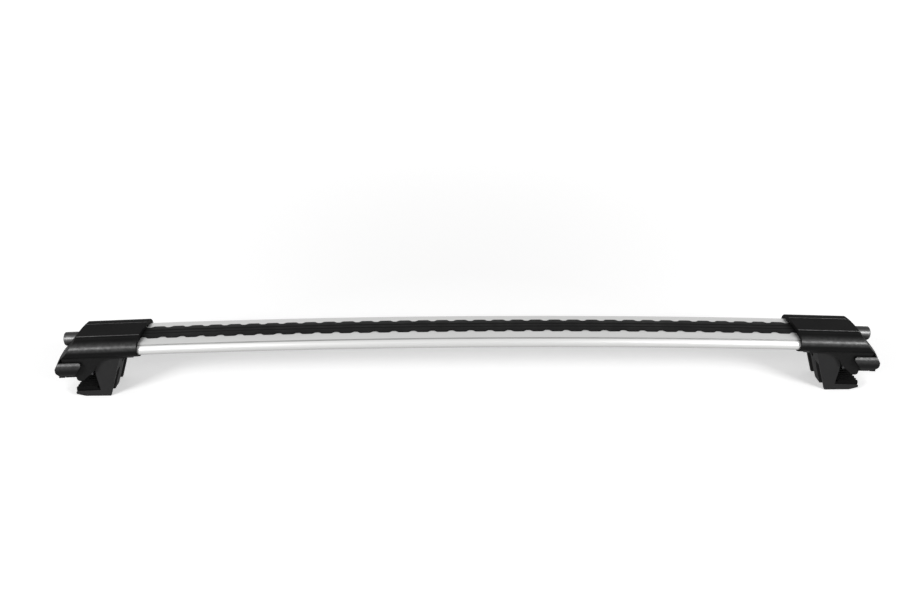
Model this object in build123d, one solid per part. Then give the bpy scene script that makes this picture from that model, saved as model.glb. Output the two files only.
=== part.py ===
from build123d import *
from math import asin, cos, degrees, hypot, radians, sin, sqrt
import os

os.makedirs("parts", exist_ok=True)

# Driving dimensions, mm. The bar runs along X, Y goes across it and Z up from the floor.
# A foot is drawn level, with X from its own middle, and then tilted and set on the arch.
FOOT_X = 520.0
BAR_OVERHANG = 20.0
BAR_WIDTH = 80.0
BAR_HEIGHT = 19.0
BAR_NOSE = 13.0
BAR_WALL = 2.2
BAR_Z = 77.2
ARCH_RADIUS = 14200.0
GAP = 0.4
SEAT = 0.05
RUNNING = 0.05
OVERCUT = 5.0

# Bar section
SLOT_MOUTH = 11.0
SLOT_WIDTH = 20.0
SLOT_LIP = 2.4
SLOT_DEPTH = 8.0
UNDER_MOUTH = 9.0
UNDER_WIDTH = 18.0
UNDER_LIP = 2.4
UNDER_DEPTH = 7.4
GROOVE_WIDTH = 1.6
GROOVE_DEPTH = 1.0
GROOVE_ANGLE = 52.0
PLUG_INSET = 1.0

# Rubber strip
STRIP_WIDTH = 37.0
STRIP_EDGE = 1.1
STRIP_PROUD = 2.2
STRIP_VALLEY = 0.9
STRIP_RIDGE = 4.5
STRIP_SHOULDER = 11.0
STRIP_HEAD = 4.0
STRIP_HEAD_INSET = 2.0
SCALLOP_PITCH = 27.6
SCALLOP_MOUTH = 14.0
SCALLOP_FLOOR = 7.5
SCALLOP_DEPTH = 4.4

# Foot cover
COVER_INNER_X = -47.5
SLEEVE_LOW_WALL = 2.0
SLEEVE_TOP_WALL = 6.6
SLEEVE_SIDE_WALL = 2.8
SLEEVE_NOSE = 17.0
MOUTH_RELIEF = 1.6
MOUTH_DEPTH = 4.0
BAND_WIDTH = 40.0
BAND_PROUD = 0.8
BEAD_RADIUS = 1.4
BEAD_PROUD = 0.7
WEB_OUTER_Y = 33.0
WEB_WALL = 3.0
SIDE_GAP = 1.0
SKIRT_INNER_X = -28.0
SEAM_X = -4.5
SEAM_Z = 64.0
SEAM_RADIUS = 28.0
SEAM_END_ANGLE = 20.0
TONGUE_BACK = 6.0
TONGUE_TIP = 8.0
TONGUE_Z = 29.3
TONGUE_ROUND = 4.0
LEDGE_Z = 36.0
LEDGE_REACH = 9.0
END_WALL = 3.6
END_RUN = 25.7
END_CROWN = 230.0

# End door
DOOR_REACH = 19.3
DOOR_RUN = 4.8
DOOR_TOP_Z = 67.0
DOOR_LOW_Z = 59.4
DOOR_HEEL_Z = 46.0
DOOR_BOTTOM_Z = 41.0
DOOR_TUCK = 3.0
DOOR_SWING = 1.0
DOOR_ROUND = 4.0
CHEEK_BACK = 16.0
CHEEK_TOP_Z = 60.5
CHEEK_LOW_Z = 40.0
CHEEK_STEP = 4.5
CHEEK_ROUND = 3.5
BULGE_RADIUS = 16.0
BULGE_INSET = 9.0
BULGE_Z = 50.0
LIP_PLATE = 1.8
LIP_PLATE_Z = 35.6
LIP_PLATE_GAP = 1.5
LIP_PLATE_BACK = 0.3
PIVOT_BACK = 5.5
PIVOT_Z = 48.5
PIN_RADIUS = 2.0
PIN_COVER = 3.0
LATCH_Y = 14.0
LATCH_WIDTH = 6.0
LATCH_Z = 58.5
LATCH_BAR = 2.6
LATCH_NOTCH_Z = 53.0
HOOK_THICK = 3.4
HOOK_TOP_Z = 65.0

# Lock
LOCK_DROP = 12.1
LOCK_RADIUS = 10.0
LOCK_SET = 0.7
LOCK_REACH = 22.2
LOCK_EDGE = 1.6
PLUG_RADIUS = 5.6
PLUG_RECESS = 0.6
KEYWAY_WIDTH = 2.0
KEYWAY_HEIGHT = 7.0
KEYWAY_DEPTH = 14.0
CAM_THICK = 2.5
CAM_WIDTH = 9.0
CAM_ANGLE = -142.0
CAM_GAP = 0.5
CAM_ROOM = 1.9

# Saddle bracket and its fasteners
FLANGE_THICK = 3.0
FLANGE_INNER_X = -36.0
FLANGE_STEP = 6.5
RAIL_HALF = 11.5
RAIL_NECK = 7.0
RAIL_TOP = 4.0
RAIL_HEAD = 4.2
JAW_GAP = 4.0
BLOCK_LENGTH = 28.5
BLOCK_TOP_Z = 56.5
SADDLE_Z = 36.5
SADDLE_RISE = 2.8
PAD_THICK = 4.0
PAD_INSET = 1.5
SCREW_XS = (-28.0, -4.0)
SCREW_RADIUS = 3.0
SCREW_HEAD_RADIUS = 5.0
SCREW_HEAD = 3.2
SCREW_SOCKET = 2.0
NUT_LENGTH = 16.0
NUT_THICK = 3.6

# Clamp leg and drive
LEG_TOP_X = -15.5
LEG_TOE_X = 11.2
LEG_ROUND = 22.0
LEG_WALL = 5.0
LEG_SIDE_RIB = 4.5
LEG_CENTRE_RIB = 18.0
POCKET_TOP_Z = 40.0
POCKET_LOW_Z = 14.0
TOE_NOTCH = 5.0
THROAT_TAPER = 1.6
THROAT_Z = 10.0
LIP_REACH = 1.8
LIP_TAPER = 36.0
LIP_TOP_Z = 9.5
LIP_UNDER_Z = 5.6
LIP_ROUND = 1.6
LIP_PAD_BACK = 1.0
RIB_COUNT = 9
RIB_HEIGHT = 3.0
RIB_BASE = 2.0
RIB_FLANK = 0.25
DRIVE_Z = 46.5
STUD_RADIUS = 3.0
STUD_HEAD_WIDTH = 10.0
STUD_HEAD = 4.0
STUD_HEAD_X = 1.0
STUD_REACH = 3.0
SLEEVE_RADIUS = 5.5
SLEEVE_FLANGE_RADIUS = 8.0
SLEEVE_FLANGE = 3.0
SLEEVE_START = 2.0
SLEEVE_TAIL = 10.0
SLEEVE_SOCKET = 5.0
SLEEVE_SOCKET_DEPTH = 6.0
WASHER_THICK = 1.6
WASHER_RADIUS = 8.5

# Arch and heights worked out from the driving dimensions
BAR_END = FOOT_X + BAR_OVERHANG
TILT = degrees(asin(FOOT_X / ARCH_RADIUS))
ARCH_CENTRE_Z = BAR_Z - sqrt(ARCH_RADIUS**2 - FOOT_X**2)
ARCH_AXIS = Axis((0, 0, ARCH_CENTRE_Z), (0, 1, 0))
CROWN_Z = ARCH_CENTRE_Z + ARCH_RADIUS
BAR_HALF = BAR_HEIGHT / 2
SLEEVE_TOP = BAR_Z + BAR_HALF + GAP + SLEEVE_TOP_WALL
FLANGE_TOP = BAR_Z - BAR_HALF - GAP - SLEEVE_LOW_WALL
SLEEVE_Z = (SLEEVE_TOP + FLANGE_TOP) / 2
FLANGE_UNDER = FLANGE_TOP - FLANGE_THICK
RAIL_HEAD_TOP = FLANGE_UNDER - RAIL_TOP
RAIL_UNDER = RAIL_HEAD_TOP - RAIL_HEAD
LOCK_Z = SLEEVE_TOP - LOCK_DROP

# Places along the foot, each from the one it follows
FACE_X = SEAM_X + SEAM_RADIUS - GAP
BLOCK_INNER_X = FACE_X + GAP + JAW_GAP
BLOCK_OUTER_X = BLOCK_INNER_X + BLOCK_LENGTH
THROAT_X = FACE_X - THROAT_TAPER
LIP_OUTER_X = BLOCK_OUTER_X + LIP_REACH
TONGUE_X = BLOCK_OUTER_X - TONGUE_BACK
PIVOT_X = BLOCK_OUTER_X - PIVOT_BACK
LEDGE_X = BLOCK_OUTER_X + LEDGE_REACH
DOOR_LOW_X = BLOCK_OUTER_X + DOOR_REACH
DOOR_TOP_X = DOOR_LOW_X - DOOR_RUN
END_TOP_X = DOOR_TOP_X - END_RUN
LOCK_INNER_X = END_TOP_X + LOCK_SET
LOCK_OUTER_X = END_TOP_X + LOCK_REACH
CAM_FACE_X = LOCK_INNER_X - CAM_GAP
CAM_X = CAM_FACE_X - CAM_THICK
HOOK_X = CAM_X - CAM_ROOM - HOOK_THICK
STUD_END_X = BLOCK_OUTER_X + STUD_REACH
SLEEVE_INNER_X = BLOCK_INNER_X + SLEEVE_START
SLEEVE_OUTER_X = BLOCK_OUTER_X + SLEEVE_TAIL

# Widths shared by the pieces inside the cover
WEB_INNER_Y = WEB_OUTER_Y - WEB_WALL
CORE_HALF = WEB_INNER_Y - SIDE_GAP
PAD_HALF = CORE_HALF - PAD_INSET

# Slants of the foot's outer end, first the cover's and then the door's steeper one
END_DROP = SLEEVE_TOP - DOOR_TOP_Z
DOOR_DROP = DOOR_TOP_Z - DOOR_LOW_Z
DOOR_WALL_RUN = END_WALL * hypot(DOOR_RUN, DOOR_DROP) / DOOR_DROP
DOOR_INSIDE_X = DOOR_LOW_X - DOOR_TUCK + DOOR_SWING - DOOR_WALL_RUN


# Shared shapes
def section(width, height, y=0.0, z=0.0):
    """Rectangle in the bar's cross-section, placed by its centre."""
    return Pos(y, z) * Rectangle(width, height)


def aero(width, height, nose):
    """Flat-topped section with a half-ellipse nose on each edge."""
    flat = width / 2 - nose
    shape = Rectangle(2 * flat, height)
    for way in (1, -1):
        shape += Pos(way * flat, 0) * Ellipse(nose, height / 2)
    return shape


def arched(profile, x0, x1):
    """Profile about the bar's centre line, carried along the arch from x0 to x1."""
    start = degrees(asin(x0 / ARCH_RADIUS))
    stop = degrees(asin(x1 / ARCH_RADIUS))
    face = Plane((0, 0, CROWN_Z), x_dir=(0, 1, 0), z_dir=(1, 0, 0)) * profile
    return revolve(face.rotate(ARCH_AXIS, start), axis=ARCH_AXIS, revolution_arc=stop - start)


def straight(profile, x0, x1, z):
    """Profile about a level line at height z, extruded from x0 to x1."""
    plane = Plane((x0, 0, z), x_dir=(0, 1, 0), z_dir=(1, 0, 0))
    return extrude(plane * profile, amount=x1 - x0)


def side(points, y0, y1):
    """Outline in the foot's side view, extruded across the bar from y0 to y1."""
    face = make_face(Polyline([(x, y0, z) for x, z in points], close=True))
    return extrude(face, amount=y1 - y0, dir=(0, 1, 0))


def block(x0, x1, y0, y1, z0, z1):
    """Box between two corners."""
    return Pos((x0 + x1) / 2, (y0 + y1) / 2, (z0 + z1) / 2) * Box(x1 - x0, y1 - y0, z1 - z0)


def rod_x(radius, x0, x1, z, y=0.0):
    """Cylinder along the bar."""
    return Pos((x0 + x1) / 2, y, z) * Rot(0, 90, 0) * Cylinder(radius, x1 - x0)


def rod_y(radius, y0, y1, x, z):
    """Cylinder across the bar."""
    return Pos(x, (y0 + y1) / 2, z) * Rot(90, 0, 0) * Cylinder(radius, y1 - y0)


def rod_z(radius, z0, z1, x, y=0.0):
    """Upright cylinder."""
    return Pos(x, y, (z0 + z1) / 2) * Cylinder(radius, z1 - z0)


def hex_x(width, x0, x1, z):
    """Hexagonal prism along the bar, given across flats."""
    return straight(RegularPolygon(width / 2, 6, major_radius=False), x0, x1, z)


def rounded(solid, spots, radius):
    """Round the edges across the bar that pass through the given side-view spots."""
    picked = []
    for edge in solid.edges().filter_by(Axis.Y):
        centre = edge.center()
        if any(abs(centre.X - x) + abs(centre.Z - z) < GAP for x, z in spots):
            picked.append(edge)
    return fillet(picked, radius)


def door_x(z):
    """Outer face of the door at a height, on the foot's middle plane."""
    return DOOR_TOP_X + DOOR_RUN * (DOOR_TOP_Z - z) / DOOR_DROP


def crowned(run, drop, inset=0.0):
    """Large cylinder along a slant through the door's top edge: what lies inside it has its end bowed across."""
    along_x = run / hypot(run, drop)
    along_z = drop / hypot(run, drop)
    centre = (DOOR_TOP_X - along_z * END_CROWN, 0, DOOR_TOP_Z - along_x * END_CROWN)
    plane = Plane(centre, x_dir=(0, 1, 0), z_dir=(along_x, 0, -along_z))
    return plane * Cylinder(END_CROWN - inset, 2 * END_CROWN)


def seated(solid):
    """Move a foot piece to its place on the bar and tilt it to follow the arch there."""
    return (Pos(FOOT_X, 0, 0) * solid).rotate(Axis((FOOT_X, 0, BAR_Z), (0, 1, 0)), TILT)


# Crossbar: one extrusion with a slot above, a slot below and two side chambers
bar_face = aero(BAR_WIDTH, BAR_HEIGHT, BAR_NOSE)
hollow = aero(BAR_WIDTH - 2 * BAR_WALL, BAR_HEIGHT - 2 * BAR_WALL, BAR_NOSE - BAR_WALL)
bar_face -= hollow - section(SLOT_WIDTH + 2 * BAR_WALL, BAR_HEIGHT)
slot_top = BAR_HALF - SLOT_LIP
slot_floor = BAR_HALF - SLOT_DEPTH
bar_face -= section(SLOT_MOUTH, SLOT_DEPTH, 0, BAR_HALF - SLOT_DEPTH / 2)
bar_face -= section(SLOT_WIDTH, slot_top - slot_floor, 0, (slot_top + slot_floor) / 2)
under_top = UNDER_DEPTH - BAR_HALF
under_floor = UNDER_LIP - BAR_HALF
bar_face -= section(UNDER_MOUTH, UNDER_DEPTH, 0, UNDER_DEPTH / 2 - BAR_HALF)
bar_face -= section(UNDER_WIDTH, under_top - under_floor, 0, (under_top + under_floor) / 2)
groove_turn = radians(GROOVE_ANGLE)
for way in (1, -1):
    y = way * (BAR_WIDTH / 2 - BAR_NOSE + BAR_NOSE * cos(groove_turn))
    z = BAR_HALF * sin(groove_turn)
    groove = Rot(0, 0, way * GROOVE_ANGLE) * Rectangle(2 * GROOVE_DEPTH, GROOVE_WIDTH)
    bar_face -= Pos(y, z) * groove
crossbar = arched(bar_face, -BAR_END, BAR_END)

# Rubber strip: lies on the bar's top, keyed into the slot, two ridges, scalloped along both edges
deck = BAR_HALF + SEAT
strip_edge = BAR_HALF + STRIP_EDGE
strip_top = BAR_HALF + STRIP_PROUD
strip_half = STRIP_WIDTH / 2
upper = [
    (-strip_half, deck),
    (strip_half, deck),
    (strip_half, strip_edge),
    (STRIP_SHOULDER, strip_top - STRIP_VALLEY / 2),
    (STRIP_RIDGE, strip_top),
    (0, strip_top - STRIP_VALLEY),
    (-STRIP_RIDGE, strip_top),
    (-STRIP_SHOULDER, strip_top - STRIP_VALLEY / 2),
    (-strip_half, strip_edge),
]
strip_face = make_face(Polyline(upper, close=True))
head_top = slot_top - SEAT
strip_face += section(SLOT_MOUTH - 2 * SEAT, deck - head_top, 0, (deck + head_top) / 2)
strip_face += section(SLOT_WIDTH - 2 * STRIP_HEAD_INSET, STRIP_HEAD, 0, head_top - STRIP_HEAD / 2)
strip = arched(strip_face, -BAR_END, BAR_END)
notch_plan = [
    (-SCALLOP_MOUTH / 2, GAP),
    (SCALLOP_MOUTH / 2, GAP),
    (SCALLOP_FLOOR / 2, -SCALLOP_DEPTH),
    (-SCALLOP_FLOOR / 2, -SCALLOP_DEPTH),
]
notch_count = int((BAR_END - SCALLOP_PITCH) / SCALLOP_PITCH)
notches = []
for step in range(-notch_count, notch_count + 1):
    for way in (1, -1):
        spots = [(step * SCALLOP_PITCH + x, way * (strip_half + y), 0) for x, y in notch_plan]
        tool = extrude(make_face(Polyline(spots, close=True)), amount=CROWN_Z + BAR_HEIGHT, dir=(0, 0, 1))
        notches.append(tool)
strip -= notches

# Plug that closes the end of the bar
plug_face = aero(BAR_WIDTH - 2 * PLUG_INSET, BAR_HEIGHT - 2 * PLUG_INSET, BAR_NOSE - PLUG_INSET)
bar_plug = arched(plug_face, BAR_END + SEAT, BAR_END + BAR_WALL)

# Foot cover: sleeve on the bar with a beaded band, side webs with tongues, slanted and bowed end around the lock
sleeve_width = BAR_WIDTH + 2 * (GAP + SLEEVE_SIDE_WALL)
sleeve_profile = aero(sleeve_width, SLEEVE_TOP - FLANGE_TOP, SLEEVE_NOSE)
cover = straight(sleeve_profile, COVER_INNER_X, DOOR_LOW_X, SLEEVE_Z)
band_top = SLEEVE_TOP + BAND_PROUD
cover += block(COVER_INNER_X, DOOR_LOW_X, -BAND_WIDTH / 2, BAND_WIDTH / 2, SLEEVE_Z, band_top)
bead_y = (BAND_WIDTH - BEAD_RADIUS) / 2
for way in (1, -1):
    cover += rod_x(BEAD_RADIUS, COVER_INNER_X, DOOR_LOW_X, band_top + BEAD_PROUD - BEAD_RADIUS, way * bead_y)
seam_low = radians(SEAM_END_ANGLE)
seam_centre_z = SEAM_Z - SEAM_RADIUS
web_outline = [
    (SKIRT_INNER_X, SLEEVE_Z),
    (SKIRT_INNER_X, SEAM_Z),
    (SEAM_X, SEAM_Z),
    (SEAM_X + SEAM_RADIUS * cos(seam_low), seam_centre_z + SEAM_RADIUS * sin(seam_low)),
    (TONGUE_X - TONGUE_TIP, TONGUE_Z),
    (TONGUE_X, TONGUE_Z),
    (TONGUE_X, LEDGE_Z),
    (LEDGE_X, LEDGE_Z),
    (LEDGE_X, DOOR_LOW_Z),
    (DOOR_TOP_X - DOOR_WALL_RUN - GAP, DOOR_TOP_Z),
    (DOOR_LOW_X, DOOR_TOP_Z),
    (DOOR_LOW_X, SLEEVE_Z),
]
body = side(web_outline, -WEB_OUTER_Y, WEB_OUTER_Y)
body = rounded(body, [(TONGUE_X - TONGUE_TIP, TONGUE_Z), (TONGUE_X, TONGUE_Z)], TONGUE_ROUND)
body -= rod_y(SEAM_RADIUS, -WEB_OUTER_Y, WEB_OUTER_Y, SEAM_X, seam_centre_z)
cover += body
cover &= crowned(END_RUN, END_DROP)
low_room = [
    (COVER_INNER_X, 0),
    (COVER_INNER_X, FLANGE_TOP),
    (BLOCK_INNER_X, FLANGE_TOP),
    (BLOCK_INNER_X, DOOR_TOP_Z),
    (DOOR_LOW_X, DOOR_TOP_Z),
    (DOOR_LOW_X, 0),
]
cover -= side(low_room, -WEB_INNER_Y, WEB_INNER_Y)
inner_end = crowned(END_RUN, END_DROP, END_WALL)
bore_profile = aero(BAR_WIDTH + 2 * GAP, BAR_HEIGHT + 2 * GAP, BAR_NOSE + GAP)
strip_room = STRIP_PROUD + 2 * GAP
bore_profile += section(STRIP_WIDTH + 4 * GAP, strip_room, 0, BAR_HALF + strip_room / 2)
cover -= straight(bore_profile, COVER_INNER_X - OVERCUT, DOOR_LOW_X, BAR_Z) & inner_end
mouth_width = BAR_WIDTH + 2 * (GAP + MOUTH_RELIEF)
mouth_profile = aero(mouth_width, BAR_HEIGHT, BAR_NOSE + GAP + MOUTH_RELIEF)
cover -= straight(mouth_profile, COVER_INNER_X - OVERCUT, COVER_INNER_X + MOUTH_DEPTH, BAR_Z)
end_room = block(BLOCK_INNER_X, DOOR_LOW_X, -WEB_INNER_Y, WEB_INNER_Y, FLANGE_TOP, BAR_Z + BAR_HALF)
cover -= end_room & inner_end
door_room = [
    (DOOR_TOP_X - DOOR_WALL_RUN - GAP, DOOR_TOP_Z),
    (DOOR_LOW_X, DOOR_TOP_Z),
    (DOOR_LOW_X, LEDGE_Z),
    (LEDGE_X, LEDGE_Z),
    (LEDGE_X, DOOR_LOW_Z),
]
web_clear = WEB_OUTER_Y + GAP
cover -= side(door_room, -web_clear, web_clear)
cover -= rod_x(LOCK_RADIUS + SEAT, LOCK_INNER_X - SEAT, LOCK_OUTER_X, LOCK_Z)
cover -= rod_x(PLUG_RADIUS + GAP, CAM_X, LOCK_INNER_X, LOCK_Z)
for x in SCREW_XS:
    cover -= rod_z(SCREW_RADIUS + GAP, FLANGE_TOP - OVERCUT, BAR_Z, x)
cover -= rod_y(PIN_RADIUS + RUNNING, -WEB_OUTER_Y, WEB_OUTER_Y, PIVOT_X, PIVOT_Z)

# End door: a bowed panel with two bulged cheeks that swings down on pins, and a hook for the lock
door_top = DOOR_TOP_Z - GAP
lip_top = LIP_PLATE_Z + LIP_PLATE
panel_inside = [
    (DOOR_INSIDE_X, lip_top),
    (DOOR_LOW_X - DOOR_WALL_RUN, DOOR_LOW_Z),
    (door_x(door_top) - DOOR_WALL_RUN, door_top),
]
lip_plate_x = DOOR_LOW_X - LIP_PLATE_BACK
panel_outline = [
    (door_x(door_top), door_top),
    (DOOR_LOW_X, DOOR_LOW_Z),
    (DOOR_LOW_X, DOOR_HEEL_Z),
    (DOOR_LOW_X - DOOR_TUCK, DOOR_BOTTOM_Z),
    (lip_plate_x, lip_top),
    (lip_plate_x, LIP_PLATE_Z),
    (LEDGE_X + LIP_PLATE_GAP, LIP_PLATE_Z),
    (LEDGE_X + LIP_PLATE_GAP, lip_top),
]
low_corners = [(DOOR_LOW_X, DOOR_LOW_Z), (DOOR_LOW_X, DOOR_HEEL_Z)]
door = rounded(side(panel_outline + panel_inside, -WEB_OUTER_Y, WEB_OUTER_Y), low_corners, DOOR_ROUND)
cheek_x = PIVOT_X - CHEEK_BACK
cheek_outline = [
    (cheek_x, CHEEK_TOP_Z),
    (door_x(CHEEK_TOP_Z), CHEEK_TOP_Z),
    (DOOR_LOW_X, DOOR_LOW_Z),
    (DOOR_LOW_X, DOOR_HEEL_Z),
    (DOOR_LOW_X - DOOR_TUCK, DOOR_BOTTOM_Z),
    (DOOR_LOW_X - DOOR_TUCK - CHEEK_STEP, CHEEK_LOW_Z),
    (PIVOT_X, CHEEK_LOW_Z),
]
bulge_y = WEB_OUTER_Y - BULGE_INSET
door_half = bulge_y + BULGE_RADIUS
cheeks = rounded(side(cheek_outline, -door_half, door_half), low_corners, DOOR_ROUND)
cheeks = rounded(cheeks, [(cheek_x, CHEEK_TOP_Z), (PIVOT_X, CHEEK_LOW_Z)], CHEEK_ROUND)
bulge = block(cheek_x, DOOR_LOW_X, -bulge_y, bulge_y, CHEEK_LOW_Z, CHEEK_TOP_Z)
for way in (1, -1):
    bulge += rod_x(BULGE_RADIUS, cheek_x, DOOR_LOW_X, BULGE_Z, way * bulge_y)
cheeks &= bulge
between = [(cheek_x - OVERCUT, DOOR_TOP_Z), (cheek_x - OVERCUT, 0), (DOOR_INSIDE_X, 0)]
cheeks -= side(between + panel_inside, -web_clear, web_clear)
door += cheeks
door &= crowned(DOOR_RUN, DOOR_DROP)
latch_y0 = LATCH_Y - LATCH_WIDTH / 2
latch_y1 = LATCH_Y + LATCH_WIDTH / 2
door += block(HOOK_X, door_x(LATCH_Z) - DOOR_WALL_RUN, latch_y0, latch_y1, LATCH_Z, LATCH_Z + LATCH_BAR)
door += block(HOOK_X, HOOK_X + HOOK_THICK, latch_y0, latch_y1, LATCH_Z, HOOK_TOP_Z)
pin_end = door_half - PIN_COVER
door -= rod_y(PIN_RADIUS + RUNNING, -pin_end - SEAT, pin_end + SEAT, PIVOT_X, PIVOT_Z)

# Hinge pins, blind in each cheek
pin = rod_y(PIN_RADIUS, WEB_INNER_Y + GAP, pin_end, PIVOT_X, PIVOT_Z)
door_pins = Part() + [pin, mirror(pin, Plane.XZ)]

# Lock: fixed barrel, plug that turns with the key, cam behind it
lock_barrel = rod_x(LOCK_RADIUS, LOCK_INNER_X, LOCK_OUTER_X, LOCK_Z)
lock_barrel = chamfer(lock_barrel.edges().filter_by(GeomType.CIRCLE).sort_by(Axis.X)[-1], LOCK_EDGE)
lock_barrel -= rod_x(PLUG_RADIUS + RUNNING, LOCK_INNER_X, LOCK_OUTER_X, LOCK_Z)
key_x = LOCK_OUTER_X - PLUG_RECESS
key_half = KEYWAY_HEIGHT / 2
slot_half = KEYWAY_WIDTH / 2
lock_plug = rod_x(PLUG_RADIUS, CAM_FACE_X, key_x, LOCK_Z)
lock_plug -= block(key_x - KEYWAY_DEPTH, key_x, -slot_half, slot_half, LOCK_Z - key_half, LOCK_Z + key_half)
cam_half = CAM_WIDTH / 2
cam_locked = radians(-90 - CAM_ANGLE)
cam_drop = LOCK_Z - LATCH_Z - LATCH_BAR - 2 * GAP
cam_reach = (cam_drop - cam_half * cos(cam_locked)) / sin(cam_locked)
lock_cam = rod_x(cam_half + RUNNING, CAM_X, CAM_FACE_X, LOCK_Z)
lock_cam += block(CAM_X, CAM_FACE_X, 0, cam_reach, LOCK_Z - cam_half, LOCK_Z + cam_half)
lock_cam = lock_cam.rotate(Axis((0, 0, LOCK_Z), (1, 0, 0)), CAM_ANGLE)

# Saddle bracket: flange under the sleeve, rail for the leg, block for the drive
flange_outer_x = BLOCK_INNER_X + FLANGE_STEP
bracket_outline = [
    (FLANGE_INNER_X, FLANGE_TOP),
    (flange_outer_x, FLANGE_TOP),
    (flange_outer_x, BLOCK_TOP_Z),
    (BLOCK_OUTER_X, BLOCK_TOP_Z),
    (BLOCK_OUTER_X, SADDLE_Z),
    (BLOCK_INNER_X, SADDLE_Z),
    (BLOCK_INNER_X, FLANGE_UNDER),
    (FLANGE_INNER_X, FLANGE_UNDER),
]
bracket = side(bracket_outline, -CORE_HALF, CORE_HALF)
saddle_x = (BLOCK_INNER_X + BLOCK_OUTER_X) / 2
saddle_radius = ((BLOCK_LENGTH / 2) ** 2 + SADDLE_RISE**2) / (2 * SADDLE_RISE)
saddle_apex_z = SADDLE_Z + SADDLE_RISE
saddle_centre_z = saddle_apex_z - saddle_radius
bracket -= rod_y(saddle_radius, -CORE_HALF, CORE_HALF, saddle_x, saddle_centre_z)
rail_end = BLOCK_INNER_X + FLANGE_STEP
bracket += block(FLANGE_INNER_X, rail_end, -RAIL_NECK, RAIL_NECK, RAIL_HEAD_TOP, FLANGE_UNDER)
bracket += block(FLANGE_INNER_X, rail_end, -RAIL_HALF, RAIL_HALF, RAIL_UNDER, RAIL_HEAD_TOP)
bracket -= rod_x(SLEEVE_RADIUS + RUNNING, BLOCK_INNER_X, BLOCK_OUTER_X, DRIVE_Z)
notch_y = (latch_y0 - 2 * GAP, latch_y1 + 2 * GAP)
bracket -= block(HOOK_X - GAP, BLOCK_OUTER_X, *notch_y, LATCH_NOTCH_Z, BLOCK_TOP_Z)
for x in SCREW_XS:
    bracket -= rod_z(SCREW_RADIUS + GAP, RAIL_UNDER, FLANGE_TOP, x)
    bracket -= rod_z(SCREW_HEAD_RADIUS + GAP, RAIL_UNDER, RAIL_UNDER + SCREW_HEAD + GAP, x)

# Rubber pad in the saddle
saddle_pad = rod_y(saddle_radius - SEAT, -PAD_HALF, PAD_HALF, saddle_x, saddle_centre_z)
saddle_pad -= rod_y(saddle_radius - PAD_THICK, -PAD_HALF, PAD_HALF, saddle_x, saddle_centre_z)
pad_ends = (BLOCK_INNER_X + PAD_INSET, BLOCK_OUTER_X - PAD_INSET)
saddle_pad &= block(*pad_ends, -PAD_HALF, PAD_HALF, saddle_centre_z, saddle_apex_z)

# Slide nuts in the lower slot of the bar, and their screws
nut_z = BAR_Z - BAR_HALF + UNDER_LIP + GAP
nut_half = UNDER_WIDTH / 2 - GAP
head_z = RAIL_UNDER + SCREW_HEAD + GAP
screw_top = BAR_Z - BAR_HALF + UNDER_DEPTH - 2 * GAP
slide_nuts = []
saddle_screws = []
for x in SCREW_XS:
    nut = block(x - NUT_LENGTH / 2, x + NUT_LENGTH / 2, -nut_half, nut_half, nut_z, nut_z + NUT_THICK)
    slide_nuts.append(nut - rod_z(SCREW_RADIUS + SEAT, nut_z, nut_z + NUT_THICK, x))
    screw = rod_z(SCREW_RADIUS, head_z, screw_top, x)
    screw += rod_z(SCREW_HEAD_RADIUS, head_z - SCREW_HEAD, head_z, x)
    socket = extrude(Pos(x, 0, head_z - SCREW_HEAD) * RegularPolygon(SCREW_SOCKET, 6), amount=SCREW_HEAD / 2)
    saddle_screws.append(screw - socket)
slide_nuts = Part() + slide_nuts
saddle_screws = Part() + saddle_screws

# Clamp leg: a hooked jaw hung on the bracket's rail, with a pocket on each side of a thick middle rib
leg_top = FLANGE_UNDER - GAP
leg_outline = [
    (LEG_TOP_X, leg_top),
    (FACE_X, leg_top),
    (FACE_X, SADDLE_Z),
    (THROAT_X, THROAT_Z),
    (LIP_OUTER_X, LIP_TOP_Z),
    (LIP_OUTER_X, LIP_UNDER_Z),
    (LIP_OUTER_X - LIP_TAPER, -LIP_UNDER_Z),
    (LEG_TOE_X, -LIP_UNDER_Z),
]
leg = side(leg_outline, -CORE_HALF, CORE_HALF)
leg = rounded(leg, [(FACE_X, leg_top)], LEG_ROUND)
leg = rounded(leg, [(LIP_OUTER_X, LIP_TOP_Z), (LIP_OUTER_X, LIP_UNDER_Z)], LIP_ROUND)
pocket_outline = [
    (LEG_TOP_X, POCKET_TOP_Z),
    (FACE_X - LEG_WALL, POCKET_TOP_Z),
    (THROAT_X - LEG_WALL, POCKET_LOW_Z),
    (LEG_TOE_X + TOE_NOTCH, -LIP_UNDER_Z),
    (LEG_TOP_X, -LIP_UNDER_Z),
]
leg -= side(pocket_outline, LEG_CENTRE_RIB / 2, CORE_HALF - LEG_SIDE_RIB)
leg -= side(pocket_outline, LEG_SIDE_RIB - CORE_HALF, -LEG_CENTRE_RIB / 2)
leg -= block(LEG_TOP_X, FACE_X, -RAIL_NECK - GAP, RAIL_NECK + GAP, RAIL_HEAD_TOP, leg_top)
leg -= block(LEG_TOP_X, FACE_X, -RAIL_HALF - GAP, RAIL_HALF + GAP, RAIL_UNDER - GAP, RAIL_HEAD_TOP + GAP)
stud_seat = STUD_HEAD_X + STUD_HEAD
leg -= rod_x(STUD_RADIUS + SEAT, STUD_HEAD_X, FACE_X, DRIVE_Z)
leg -= hex_x(STUD_HEAD_WIDTH + 2 * SEAT, LEG_TOP_X, stud_seat, DRIVE_Z)

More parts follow.
